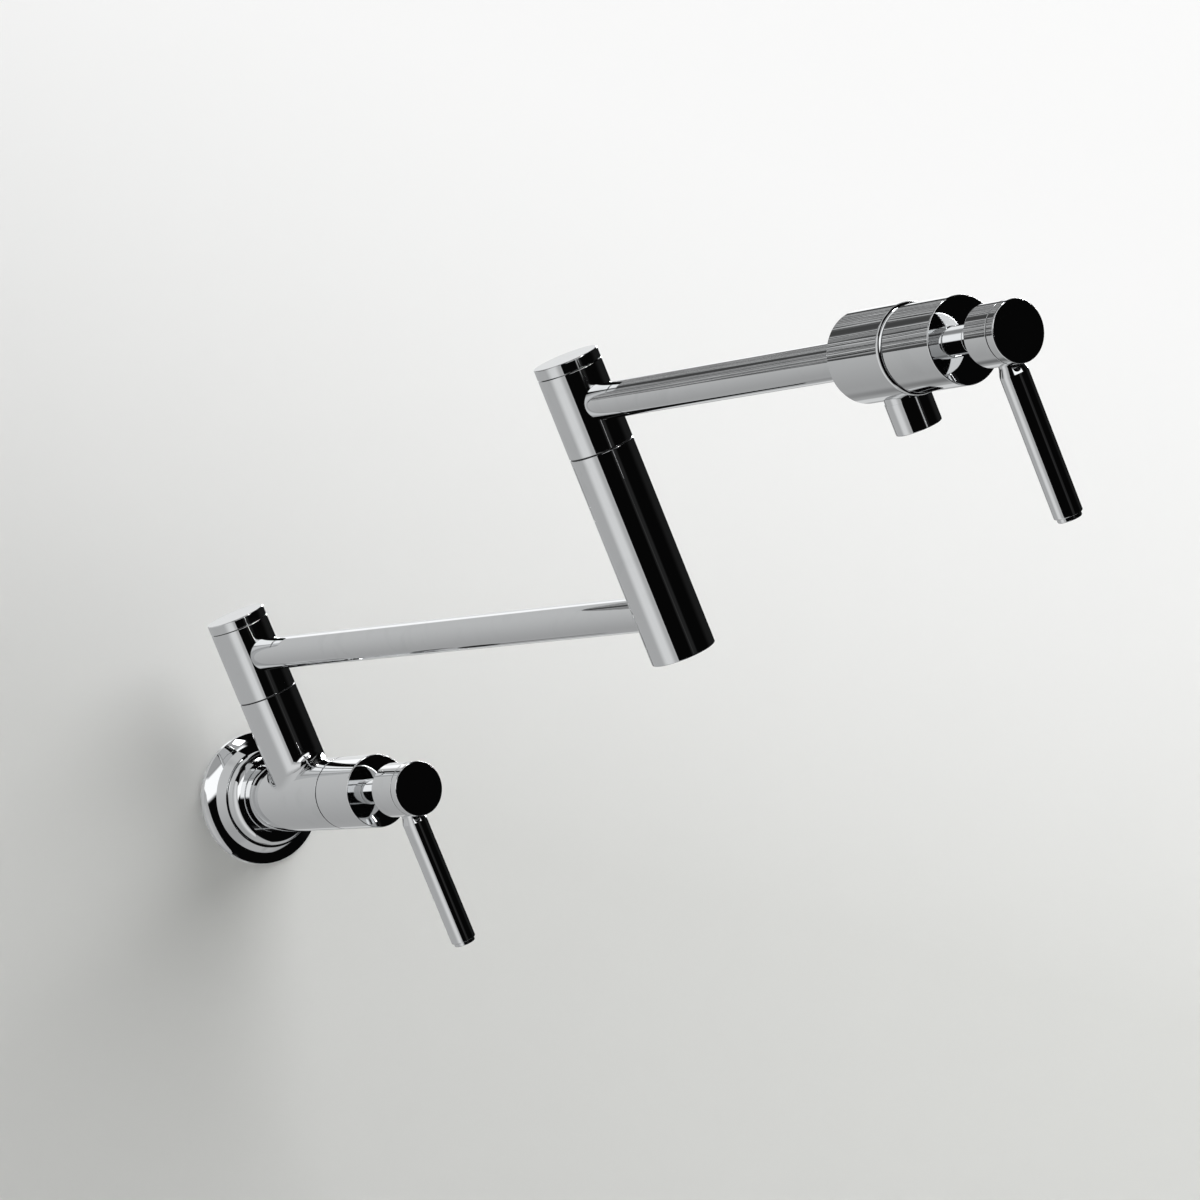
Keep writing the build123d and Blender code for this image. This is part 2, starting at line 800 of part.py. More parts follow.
with BuildPart() as outer_arm_tube:
    with BuildSketch(outer_arm.offset(tube_seat)):
        Circle(tube_radius)
        Circle(tube_radius - tube_wall, mode=Mode.SUBTRACT)
    extrude(amount=second_reach - tube_seat + tube_socket_depth - end_gap)
save(outer_arm_tube, "outer_arm_tube")

# ================================================================ end valve and outlet
outlet_axis_plane = Plane(outlet_mouth.offset(outlet_drop).origin)
with BuildPart() as end_valve_body:
    turn(end_back, [
        (0, 0),
        (end_body_radius, 0),
        (end_body_radius, end_body_length),
        (spigot_radius, end_body_length),
        (spigot_radius, end_body_length + spigot_length),
        (0, end_body_length + spigot_length),
    ], rounded=[(end_body_radius, 0)])
    front_edge = end_valve_body.edges().filter_by(GeomType.CIRCLE).sort_by(SortBy.RADIUS)[-1]
    fillet(front_edge, radius=end_rounding)
    with BuildSketch(end_back):
        Circle(tube_radius + fit_gap)
    extrude(amount=tube_socket_depth, mode=Mode.SUBTRACT)
    with BuildSketch(end_back):
        Circle(water_radius)
    extrude(amount=end_body_length, mode=Mode.SUBTRACT)
    with BuildSketch(end_mouth.offset(-pocket_depth)):
        Circle(pocket_radius)
    extrude(amount=pocket_depth + spigot_length, mode=Mode.SUBTRACT)
    with BuildSketch(outlet_axis_plane.offset(-outlet_chamber_top)):
        Circle(outlet_thread_radius)
    extrude(amount=-end_body_radius, mode=Mode.SUBTRACT)
    with BuildSketch(end_back.offset(outlet_setback)):
        with Locations((0, -channel_height)):
            Circle(channel_radius)
    extrude(amount=end_body_length - outlet_setback - channel_stop, mode=Mode.SUBTRACT)
save(end_valve_body, "end_valve_body")

make_valve(end_mouth, "end", end_handle)

aerator_seat = aerator_height + aerator_recess
spigot_top = outlet_drop - channel_height
root_radius = outlet_radius - outlet_relief
root_start = outlet_drop - end_body_radius - outlet_relief
root_end = outlet_drop - sqrt(end_body_radius ** 2 - root_radius ** 2)
with BuildPart() as outlet_spout:
    turn(outlet_mouth, [
        (aerator_radius, 0),
        (outlet_radius, 0),
        (outlet_radius, root_start),
        (root_radius, root_start),
        (root_radius, root_end),
        (outlet_thread_radius - fit_gap, root_end),
        (outlet_thread_radius - fit_gap, spigot_top),
        (outlet_bore_radius, spigot_top),
        (outlet_bore_radius, aerator_seat + washer_thickness),
        (aerator_radius, aerator_seat + washer_thickness),
    ], rounded=[(outlet_radius, 0)])
    with BuildSketch(end_back):
        Circle(end_body_radius + fit_gap)
        Circle(outlet_thread_radius + edge, mode=Mode.SUBTRACT)
    saddle_cut = extrude(amount=end_body_length, mode=Mode.PRIVATE)
    with BuildSketch(outlet_mouth):
        Circle(outlet_radius + edge)
        Circle(outlet_thread_radius - fit_gap, mode=Mode.SUBTRACT)
    collar_zone = extrude(amount=outlet_drop, mode=Mode.PRIVATE)
    add(saddle_cut & collar_zone, mode=Mode.SUBTRACT)
save(outlet_spout, "outlet_spout")

with BuildPart() as aerator_housing:
    turn(outlet_mouth.offset(aerator_recess), [
        (aerator_radius - fit_gap - aerator_wall, 0),
        (aerator_radius - fit_gap, 0),
        (aerator_radius - fit_gap, aerator_height),
        (aerator_radius - fit_gap - aerator_wall, aerator_height),
    ])
save(aerator_housing, "aerator_housing")

mesh_radius = aerator_radius - aerator_wall - 2 * fit_gap
with BuildPart() as aerator_mesh:
    with BuildSketch(outlet_mouth.offset(2 * aerator_recess)):
        Circle(mesh_radius)
        Circle(mesh_hole_radius, mode=Mode.SUBTRACT)
        with PolarLocations(mesh_ring_radius / 2, 6):
            Circle(mesh_hole_radius, mode=Mode.SUBTRACT)
        with PolarLocations(mesh_ring_radius, 12):
            Circle(mesh_hole_radius, mode=Mode.SUBTRACT)
    extrude(amount=mesh_height)
save(aerator_mesh, "aerator_mesh")

with BuildPart() as aerator_washer:
    with BuildSketch(outlet_mouth.offset(aerator_seat)):
        Circle(aerator_radius - fit_gap)
        Circle(outlet_bore_radius, mode=Mode.SUBTRACT)
    extrude(amount=washer_thickness)
save(aerator_washer, "aerator_washer")
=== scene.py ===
# %% [markdown]
# # A wall mounted pot filler in polished chrome
#
# This tap hangs on the wall over a cooker. Two round arms fold out from the wall on two swivels,
# and a quarter-turn valve sits at each end. Every piece comes from the construction model at its
# real size, so this lesson never moves or resizes one. What is left to make is the part that the
# eye judges first: a mirror finish, and a studio worth mirroring.

import json
from math import radians

import bpy
from mathutils import Matrix, Vector

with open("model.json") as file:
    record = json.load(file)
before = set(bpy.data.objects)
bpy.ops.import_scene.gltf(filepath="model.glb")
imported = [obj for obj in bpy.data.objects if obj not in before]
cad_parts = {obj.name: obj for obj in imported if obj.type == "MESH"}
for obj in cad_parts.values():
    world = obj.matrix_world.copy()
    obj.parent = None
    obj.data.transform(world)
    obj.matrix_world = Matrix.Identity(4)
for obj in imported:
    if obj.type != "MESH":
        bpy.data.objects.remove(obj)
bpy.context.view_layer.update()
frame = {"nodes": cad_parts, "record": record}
nodes = frame["nodes"]

# %% [markdown]
# ## The camera
#
# The picture was taken with a long lens from the left, a little above the tap, and the camera was
# tipped sideways, so the posts lean. A long lens flattens perspective, which is why the two valves
# look nearly the same size although one is half a metre closer. The three turns are applied in the
# order in which a photographer makes them: tip the camera, look down, then turn to the tap.

# %% Camera
camera_place = Vector((-1.204, -2.3065, 0.4882))
camera_turn = radians(31.93)    # to the right of straight at the wall
camera_down = radians(10.04)
camera_tip = radians(-21.97)

camera_data = bpy.data.cameras.new("long_lens")
camera_data.lens = 156.0        # millimetres, on a frame 36 mm wide
camera_data.sensor_width = 36.0
camera = bpy.data.objects.new("long_lens", camera_data)
bpy.context.scene.collection.objects.link(camera)
aim = Matrix.Rotation(-camera_turn, 4, "Z") @ Matrix.Rotation(radians(90) - camera_down, 4, "X")
camera.matrix_world = Matrix.Translation(camera_place) @ aim @ Matrix.Rotation(camera_tip, 4, "Z")
bpy.context.scene.camera = camera
bpy.context.scene.view_settings.view_transform = "Standard"
print("camera to the flange, metres:", round(camera_place.length, 2))

# %% [markdown]
# ## Small helpers for shader nodes
#
# A shader tree made in code is easier to read when each node takes one line. `add` makes a node
# and sets its options, `feed` gives a socket either a number or a wire, `calc` is one step of
# arithmetic, and `ramp` turns one range of values into another.

# %% Shader helpers
def add(tree, kind, **options):
    """Make one shader node and set its options."""
    node = tree.nodes.new(kind)
    for option, value in options.items():
        setattr(node, option, value)
    return node


def feed(tree, socket, value):
    """Give a socket a wire if the value is one, and a plain value otherwise."""
    if isinstance(value, bpy.types.NodeSocket):
        tree.links.new(value, socket)
    else:
        socket.default_value = value


def calc(tree, operation, *values):
    """One step of arithmetic. Returns its result."""
    node = add(tree, "ShaderNodeMath", operation=operation)
    for socket, value in zip(node.inputs, values):
        feed(tree, socket, value)
    return node.outputs[0]


def ramp(tree, value, start, end, low=0.0, high=1.0, smooth=True):
    """Map a value that runs from start to end onto low to high, and stop there."""
    node = add(tree, "ShaderNodeMapRange")
    node.interpolation_type = "SMOOTHSTEP" if smooth else "LINEAR"
    for socket, given in zip(node.inputs, (value, start, end, low, high)):
        feed(tree, socket, given)
    return node.outputs[0]


print("ready: add, feed, calc and ramp")

# %% [markdown]
# ## Groups
#
# An effect that several materials share is made once, as a node group. `new_group` makes an empty
# group with named sockets, ready for its inside. `place_group` puts the finished group into a tree
# and sets its values there.

# %% Group helpers
def new_group(name, inputs, outputs):
    """An empty shader group with named sockets. Returns the group, its inlet and its outlet."""
    group = bpy.data.node_groups.new(name, "ShaderNodeTree")
    for label, start in inputs.items():
        socket = group.interface.new_socket(name=label, in_out="INPUT", socket_type="NodeSocketFloat")
        socket.default_value = start
    for label, kind in outputs.items():
        group.interface.new_socket(name=label, in_out="OUTPUT", socket_type=kind)
    return group, add(group, "NodeGroupInput"), add(group, "NodeGroupOutput")


def place_group(tree, group, **values):
    """Put a group into a tree with its own values."""
    node = add(tree, "ShaderNodeGroup", node_tree=group)
    for label, value in values.items():
        feed(tree, node.inputs[label.replace("_", " ").capitalize()], value)
    return node


print("ready: new_group and place_group")

# %% [markdown]
# ## Greys of a screen and levels of light
#
# Greys are easiest to judge on a screen, where they run from 0 to 255, but a shader wants an amount
# of light. The two aren't in step: the middle grey of a screen is only a fifth of white's light.

# %% From a grey to a level of light
def seen(grey):
    """Light level that a grey of 0 to 255 on the screen stands for."""
    share = grey / 255
    if share <= 0.04045:
        return share / 12.92
    return ((share + 0.055) / 1.055) ** 2.4


print("middle grey is a light level of", round(seen(128), 3))

# %% [markdown]
# ## A studio made of panels
#
# Chrome has almost no look of its own. What makes a photograph of it is what stands around it:
# the dark room in front gives the deep black stripes, the pale wall gives the greys, and soft
# boxes give the white glints. A mirror only asks which light comes from which direction, so most
# of the set is painted straight onto the sky, for mirror rays alone.
#
# One panel is a patch of sky with soft borders. It is a group, because it is used many times with
# other values. Across is the direction round the tap in degrees: 0 is straight out from the wall,
# 90 is to its left, 180 is the wall itself. Up is the height over the horizon.

# %% One panel of the studio
panel_group, inlet, outlet = new_group(
    "studio_panel",
    {"Across": 0.0, "Up": 0.0, "Centre": 0.0, "Half width": 10.0, "Middle": 0.0, "Half height": 10.0,
     "Soft across": 1.0, "Soft up": 1.0},
    {"Mask": "NodeSocketFloat"},
)
half_turn = 180.0               # degrees; differences wrap round here


def patch(tree, distance, half, soft):
    """One inside a patch, nought outside, with a border that is soft on both sides."""
    inner = calc(tree, "SUBTRACT", half, soft)
    outer = calc(tree, "ADD", half, soft)
    return ramp(tree, distance, inner, outer, low=1.0, high=0.0)


turn_apart = calc(panel_group, "SUBTRACT", inlet.outputs["Across"], inlet.outputs["Centre"])
turn_apart = calc(panel_group, "WRAP", turn_apart, half_turn, -half_turn)
turn_apart = calc(panel_group, "ABSOLUTE", turn_apart)
rise_apart = calc(panel_group, "SUBTRACT", inlet.outputs["Up"], inlet.outputs["Middle"])
rise_apart = calc(panel_group, "ABSOLUTE", rise_apart)
across_mask = patch(panel_group, turn_apart, inlet.outputs["Half width"], inlet.outputs["Soft across"])
up_mask = patch(panel_group, rise_apart, inlet.outputs["Half height"], inlet.outputs["Soft up"])
feed(panel_group, outlet.inputs["Mask"], calc(panel_group, "MULTIPLY", across_mask, up_mask))
print("panel inputs:", [socket.name for socket in inlet.outputs if socket.name])

# %% [markdown]
# ## The directions
#
# The sky's Generated coordinate is the direction of the ray. Two angles are worked out from it once
# and shared by all the panels. A panel's grey is written as the chrome should show it. Since chrome
# swallows a fifth of the light, the panel itself has to be that much brighter.

# %% Directions of the sky
world = bpy.data.worlds.new("studio")
bpy.context.scene.world = world
world.use_nodes = True
sky = world.node_tree
sky.nodes.clear()

direction = add(sky, "ShaderNodeTexCoord").outputs["Generated"]
parts = add(sky, "ShaderNodeSeparateXYZ")
feed(sky, parts.inputs[0], direction)
leftward = calc(sky, "MULTIPLY", parts.outputs["X"], -1.0)
outward = calc(sky, "MULTIPLY", parts.outputs["Y"], -1.0)
sky_across = calc(sky, "DEGREES", calc(sky, "ARCTAN2", leftward, outward))
sky_up = calc(sky, "DEGREES", calc(sky, "ARCSINE", parts.outputs["Z"]))
chrome_share = 0.8              # share of the light that the chrome gives back


def mirrored(grey):
    """Light level of a panel that the chrome shows as this grey."""
    return seen(grey) / chrome_share


def hang(light, across, up, grey, soft):
    """Hang one panel over the light so far. across and up run from edge to edge, in degrees."""
    mask = place_group(
        sky, panel_group, across=sky_across, up=sky_up,
        centre=sum(across) / 2, half_width=(across[1] - across[0]) / 2,
        middle=sum(up) / 2, half_height=(up[1] - up[0]) / 2,
        soft_across=soft[0], soft_up=soft[1],
    ).outputs["Mask"]
    level = grey if isinstance(grey, bpy.types.NodeSocket) else mirrored(grey)
    blend = add(sky, "ShaderNodeMix", data_type="FLOAT")
    feed(sky, blend.inputs[0], mask)
    feed(sky, blend.inputs[2], light)
    feed(sky, blend.inputs[3], level)
    return blend.outputs[0]


print("a panel that shows as white has a level of", round(mirrored(255), 2))

# %% [markdown]
# ## Hanging the panels
#
# The room in front of the tap is left dark. The side of the sky behind the tap is the pale wall, a
# little brighter higher up. Below it come the floor and the dark gap between wall and floor. Each
# panel hangs over those before it, so the large ones come first.

# %% The wall as the chrome sees it
studio = mirrored(6)            # the dark room
low_wall, high_wall = mirrored(152), mirrored(182)
wall_light = ramp(sky, sky_up, -30.0, 36.0, low_wall, high_wall, smooth=False)
studio = hang(studio, across=(90, 219), up=(-88, 75), grey=wall_light, soft=(0.5, 5))
studio = hang(studio, across=(38, 256), up=(-88, -52), grey=162, soft=(8, 4))
studio = hang(studio, across=(170, 188), up=(-58, -37), grey=78, soft=(7, 3))


def panels_so_far():
    """How many panels hang in the studio."""
    return sum(1 for node in sky.nodes if node.type == "GROUP")


print("panels for the wall and the floor:", panels_so_far())

# %% [markdown]
# ## White boxes at the right
#
# The flat tops of the posts all mirror one narrow part of the sky, to the right and a little up. A
# white box there gives them their pale faces, and its two brighter corners light the roundings
# beside them. A lower box does the same for the rims underneath. A small lamp further right, far
# brighter than white, makes hard glints. The dim panel beyond it keeps shaded flanks from going
# quite black.

# %% White boxes at the right
glint = 800                     # brighter than any white, for small hard glints
studio = hang(studio, across=(199, 222), up=(-9, 24), grey=212, soft=(3, 2))
studio = hang(studio, across=(198, 211), up=(14, 24), grey=247, soft=(2, 2))
studio = hang(studio, across=(214, 222), up=(-9, 9), grey=246, soft=(1.5, 1.5))
studio = hang(studio, across=(196, 209), up=(-35, -23), grey=196, soft=(2, 2))
studio = hang(studio, across=(-128, -72), up=(-40, 12), grey=26, soft=(14, 10))
studio = hang(studio, across=(222, 240), up=(-4, 15), grey=glint, soft=(2, 2))
print("panels with those at the right:", panels_so_far())

# %% [markdown]
# ## The soft box in front
#
# High in front hangs one large soft box with a grey cloth above it. The long tubes never face it.
# It shows only in roundings and in necks, as the small white marks that make chrome look wet. A
# small bright lamp at its corner adds a few hard glints. Below it two faint strips break the black
# of the posts.

# %% The box, its cloth and the faint strips
studio = hang(studio, across=(-35, 38), up=(12, 36), grey=252, soft=(3, 2.5))
studio = hang(studio, across=(-40, 30), up=(36, 58), grey=150, soft=(4, 3))
studio = hang(studio, across=(-43, -33), up=(40, 50), grey=glint, soft=(2, 2))
studio = hang(studio, across=(-13, 5), up=(-40, 8), grey=33, soft=(4, 5))
studio = hang(studio, across=(-1.2, 1.2), up=(-30, 6), grey=48, soft=(0.7, 3))
print("panels in all:", panels_so_far())

# %% [markdown]
# ## Plain light for everything that isn't a mirror
#
# The wall, the floor and the rubber want an even, pale light. Light Path tells which ray is asking:
# a mirror ray gets the painted studio, the camera gets a pale backdrop, and any other ray gets a
# plain sky of one level.

# %% Sky for mirror rays and for the rest
plain_level = 0.29
backdrop_grey = 234
cool_grey = (0.985, 0.995, 1.0, 1.0)
no_tint = (1.0, 1.0, 1.0, 1.0)

asking = add(sky, "ShaderNodeLightPath")
tint = add(sky, "ShaderNodeMix", data_type="RGBA", blend_type="MULTIPLY")
tint.inputs[0].default_value = 1.0
feed(sky, tint.inputs[6], studio)
tint.inputs[7].default_value = cool_grey
mirror_sky = add(sky, "ShaderNodeBackground")
feed(sky, mirror_sky.inputs["Color"], tint.outputs[2])
plain_sky = add(sky, "ShaderNodeBackground")
plain_sky.inputs["Color"].default_value = no_tint
by_camera = asking.outputs["Is Camera Ray"]
plain_light = ramp(sky, by_camera, 0.0, 1.0, plain_level, seen(backdrop_grey), smooth=False)
feed(sky, plain_sky.inputs["Strength"], plain_light)
chosen = add(sky, "ShaderNodeMixShader")
feed(sky, chosen.inputs["Fac"], asking.outputs["Is Glossy Ray"])
feed(sky, chosen.inputs[1], plain_sky.outputs[0])
feed(sky, chosen.inputs[2], mirror_sky.outputs[0])
sky_out = add(sky, "ShaderNodeOutputWorld")
feed(sky, sky_out.inputs["Surface"], chosen.outputs[0])
print("the plain sky alone shows white paint as a level of", plain_level)

# %% [markdown]
# ## Two cards close to the tap
#
# Two parts of the set stand so near that each piece of the tap sees their borders in another
# direction, and a painted sky can't do that. They are real planes that only mirror rays can see, and
# each one glows by a rule of its own.

# %% Helpers for flat pieces of the set
def plane(name, corners, material):
    """One flat piece of the set."""
    mesh = bpy.data.meshes.new(name)
    mesh.from_pydata(corners, [], [(0, 1, 2, 3)])
    mesh.materials.append(material)
    surface = bpy.data.objects.new(name, mesh)
    bpy.context.scene.collection.objects.link(surface)
    return surface


def for_mirrors_only(surface):
    """Hide a card from every ray that isn't a mirror ray."""
    surface.visible_camera = False
    surface.visible_diffuse = False
    surface.visible_transmission = False
    surface.visible_volume_scatter = False
    surface.visible_shadow = False


def glowing(name, level_of):
    """A material that gives off light by its place. level_of makes the light level."""
    material = bpy.data.materials.new(name)
    material.use_nodes = True
    tree = material.node_tree
    tree.nodes.clear()
    place = add(tree, "ShaderNodeSeparateXYZ")
    feed(tree, place.inputs[0], add(tree, "ShaderNodeTexCoord").outputs["Object"])
    glow = add(tree, "ShaderNodeEmission")
    glow.inputs["Color"].default_value = cool_grey
    feed(tree, glow.inputs["Strength"], level_of(tree, *place.outputs))
    feed(tree, add(tree, "ShaderNodeOutputMaterial").inputs["Surface"], glow.outputs[0])
    return material


print("ready: plane, for_mirrors_only and glowing, which tints its light", cool_grey[:3])

# %% [markdown]
# ## The side card
#
# This card stands at the left of the tap, at a right angle to the wall. Its middle is brightest, and
# it ends in a hard border at the front. That border is the sharp line between pale and black on
# every post and lever.

# %% The side card
card_left = -0.669
card_front = -0.875
card_bottom = -1.2
card_top = 1.0
dim_front, bright_front, bright_back, dim_back = -0.76, -0.52, -0.36, -0.05     # depths
bright, at_wall, at_front = mirrored(204), mirrored(163), mirrored(164)


def side_shade(tree, across, depth, height):
    """Brightest in the middle, less bright towards the wall and towards the front."""
    back = ramp(tree, depth, bright_back, dim_back, bright, at_wall)
    front = ramp(tree, depth, dim_front, bright_front, at_front, bright)
    return calc(tree, "MINIMUM", back, front)


side_card = plane(
    "side_card",
    [(card_left, card_front, card_bottom), (card_left, card_front, card_top),
     (card_left, 0.0, card_top), (card_left, 0.0, card_bottom)],
    glowing("side_card_light", side_shade),
)
for_mirrors_only(side_card)
print("side card, metres:", [round(side, 2) for side in side_card.dimensions])

# %% [markdown]
# ## The upper card
#
# The top of the end valve shows fine streaks that run along the barrel. A barrel draws every line
# that points at its axis as a line along itself. So this card lies on the wall above the tap, and
# its streaks fan out from the point that the valve's axis would hit. A one-dimensional noise over
# the angle of the fan gives streaks of many widths. Straight above the valve and far out at the
# sides the card is plain.

# %% The upper card and its streaks
streaks_bottom = 0.32
upper_card_right = 1.2
upper_card_top = 1.3
upper_card_gap = 0.001
end_valve_height = 0.1749
streak_wander = 7.0             # degrees
wander_scale = 14.0
streaks_per_degree = 0.34
streak_noise = (0.42, 0.6)      # noise below this is dark, above it light
plain_top = (5.0, 12.0)         # degrees from straight up, where the plain part fades out
plain_sides = (60.0, 67.0)      # degrees from straight up, where it fades in again
streak_dark, streak_light, gap_light = mirrored(42), mirrored(182), mirrored(64)


def streak_shade(tree, across, depth, height):
    """Fine streaks that fan out from the point of the card behind the end valve."""
    over_valve = calc(tree, "SUBTRACT", height, end_valve_height)
    fan = calc(tree, "DEGREES", calc(tree, "ARCTAN2", across, over_valve))
    wander = add(tree, "ShaderNodeTexNoise")
    feed(tree, wander.inputs["Vector"], add(tree, "ShaderNodeTexCoord").outputs["Object"])
    wander.inputs["Scale"].default_value = wander_scale
    fan = calc(tree, "MULTIPLY_ADD", wander.outputs["Fac"], streak_wander, fan)
    fine = add(tree, "ShaderNodeTexNoise", noise_dimensions="1D")
    feed(tree, fine.inputs["W"], fan)
    fine.inputs["Scale"].default_value = streaks_per_degree
    fine.inputs["Detail"].default_value = 3.0
    streaks = ramp(tree, fine.outputs["Fac"], *streak_noise, streak_dark, streak_light, smooth=False)
    from_top = calc(tree, "ABSOLUTE", fan)
    sides = ramp(tree, from_top, *plain_sides)
    top = ramp(tree, from_top, *plain_top, low=1.0, high=0.0)
    gaps = calc(tree, "MAXIMUM", sides, top)
    both = add(tree, "ShaderNodeMix", data_type="FLOAT")
    feed(tree, both.inputs[0], gaps)
    feed(tree, both.inputs[2], streaks)
    feed(tree, both.inputs[3], gap_light)
    return both.outputs[0]


upper_card = plane(
    "upper_card",
    [(card_left, -upper_card_gap, streaks_bottom), (upper_card_right, -upper_card_gap, streaks_bottom),
     (upper_card_right, -upper_card_gap, upper_card_top), (card_left, -upper_card_gap, upper_card_top)],
    glowing("upper_card_light", streak_shade),
)
for_mirrors_only(upper_card)
print("upper card, metres:", [round(side, 2) for side in upper_card.dimensions])

# %% [markdown]
# ## Matt paint
#
# The wall and the floor have pale matt paint that is never quite even. A lamp strong enough to make
# it white would burn it out near the lamp, so the last step towards white is a glow of the paint's
# own, which only the camera sees. A paint can also be see-through from its back.

# %% Matt paint
def matt_paint(name, grey, glow_grey, glow_share, see_through_back=False):
    """Pale matt paint, faintly uneven. For the camera alone, a share of it glows in its own grey."""
    material = bpy.data.materials.new(name)
    material.use_nodes = True
    tree = material.node_tree
    shader = tree.nodes["Principled BSDF"]
    shader.inputs["Roughness"].default_value = 0.9
    shader.inputs["Specular IOR Level"].default_value = 0.0
    uneven = add(tree, "ShaderNodeTexNoise")
    uneven.inputs["Scale"].default_value = 1.4      # patches of about 70 cm
    uneven.inputs["Detail"].default_value = 4.0
    paint = add(tree, "ShaderNodeMix", data_type="RGBA")
    feed(tree, paint.inputs[0], uneven.outputs["Fac"])
    paint.inputs[6].default_value = (seen(grey - 4), seen(grey - 3), seen(grey - 5), 1.0)   # darker
    paint.inputs[7].default_value = (seen(grey + 2), seen(grey + 2), seen(grey), 1.0)       # lighter
    feed(tree, shader.inputs["Base Color"], paint.outputs[2])
    glow = add(tree, "ShaderNodeEmission")
    glow.inputs["Strength"].default_value = seen(glow_grey)
    looked_at = add(tree, "ShaderNodeLightPath").outputs["Is Camera Ray"]
    lit = add(tree, "ShaderNodeMixShader")
    feed(tree, lit.inputs["Fac"], calc(tree, "MULTIPLY", looked_at, glow_share(tree)))
    feed(tree, lit.inputs[1], shader.outputs[0])
    feed(tree, lit.inputs[2], glow.outputs[0])
    surface = lit.outputs[0]
    if see_through_back:
        mix = add(tree, "ShaderNodeMixShader")
        feed(tree, mix.inputs["Fac"], add(tree, "ShaderNodeNewGeometry").outputs["Backfacing"])
        feed(tree, mix.inputs[1], surface)
        feed(tree, mix.inputs[2], add(tree, "ShaderNodeBsdfTransparent").outputs[0])
        surface = mix.outputs[0]
    feed(tree, tree.nodes["Material Output"].inputs["Surface"], surface)
    return material


pale_grey = 234
near_white = 250
print("pale paint gives back", round(seen(pale_grey), 2), "of the light")

# %% [markdown]
# ## Wall and floor
#
# The tap hangs on a wall, so the set has a wall plane just behind the flange, and a floor below. The
# wall is whiter towards the upper right by painted light, a camera-only glow; the floor's is even.
# Seen from behind, the wall would hide the tap, so its back face is see-through.

# %% Wall and floor
wall_gap = 0.0004               # clear of the flange's back
floor_height = -0.5
room_half = 6.0
upper_right = (0.62, 0.0, 0.79)
# Painted light: the wall's camera-only glow grows over this stretch and whitens the upper right.
glow_starts, glow_full = 0.01, 0.41     # metres from the flange's centre towards the upper right
most_glow_on_wall = 0.85
glow_on_floor = 0.7


def painted_light_towards_upper_right(tree):
    """The wall's share of painted light, a glow: none at the lower left, nearly all at the upper right.
    """
    along = add(tree, "ShaderNodeVectorMath", operation="DOT_PRODUCT")
    feed(tree, along.inputs[0], add(tree, "ShaderNodeTexCoord").outputs["Object"])
    along.inputs[1].default_value = upper_right
    distance = along.outputs["Value"]
    return ramp(tree, distance, glow_starts, glow_full, 0.0, most_glow_on_wall, smooth=False)


def all_over(tree):
    """The floor's share of glow, the same everywhere."""
    return glow_on_floor


wall = plane(
    "wall",
    [(-room_half, wall_gap, floor_height), (room_half, wall_gap, floor_height),
     (room_half, wall_gap, room_half), (-room_half, wall_gap, room_half)],
    matt_paint("wall_paint", pale_grey, near_white, painted_light_towards_upper_right, see_through_back=True),
)
floor = plane(
    "floor",
    [(-room_half, -room_half, floor_height), (room_half, -room_half, floor_height),
     (room_half, room_half, floor_height), (-room_half, room_half, floor_height)],
    matt_paint("floor_paint", pale_grey, pale_grey, all_over),
)
for surface in (wall, floor):
    surface.visible_glossy = False
print("wall faces", [round(part, 2) for part in wall.data.polygons[0].normal])

# %% [markdown]
# ## One soft lamp
#
# A large round lamp stands high at the right and near the wall. It makes the wall brighter towards
# the upper right, where the wall's painted glow adds more, and lays a soft shadow to the left of the
# flange. It is hidden from mirror rays, because the chrome already has its white boxes.

# %% The soft lamp
lamp_place = Vector((1.0, -0.75, 0.85))
lamp_aim = Vector((0.3, 0.0, 0.1))
lamp_data = bpy.data.lights.new("soft_lamp", "AREA")
lamp_data.shape = "DISK"
lamp_data.size = 1.5            # metres across
lamp_data.energy = 19.8         # watts
lamp = bpy.data.objects.new("soft_lamp", lamp_data)
lamp.location = lamp_place
lamp.rotation_euler = (lamp_aim - lamp_place).to_track_quat("-Z", "Y").to_euler()
lamp.visible_glossy = False
lamp.visible_camera = False
bpy.context.scene.collection.objects.link(lamp)
print("lamp to the point it is aimed at, metres:", round((lamp_aim - lamp_place).length, 2))

# %% [markdown]
# ## Chrome
#
# Chrome plate is a mirror, but a handled one. Polishing leaves hair-fine marks and the plate is
# never quite flat, which bends the reflections a little on long tubes. Wiping leaves a faint haze in
# places. No real edge is sharp: in the model each one is rounded by a quarter or half a millimetre,
# and the rounding catches a thin line of light, so the shader has nothing to add there.

# %% Group: polished plate
plate_group, inlet, outlet = new_group(
    "polished_plate",
    {"Marks": 0.02, "Waviness": 0.02, "Gloss": 0.03, "Smudge": 0.03},
    {"Roughness": "NodeSocketFloat", "Normal": "NodeSocketVector", "Smudge mask": "NodeSocketFloat"},
)
spot = add(plate_group, "ShaderNodeTexCoord").outputs["Object"]

waves = add(plate_group, "ShaderNodeTexNoise")
feed(plate_group, waves.inputs["Vector"], spot)
waves.inputs["Scale"].default_value = 28.0          # waves of about 36 mm
waves.inputs["Detail"].default_value = 1.0
wavy = add(plate_group, "ShaderNodeBump")
feed(plate_group, wavy.inputs["Strength"], inlet.outputs["Waviness"])
wavy.inputs["Distance"].default_value = 0.001
feed(plate_group, wavy.inputs["Height"], waves.outputs["Fac"])

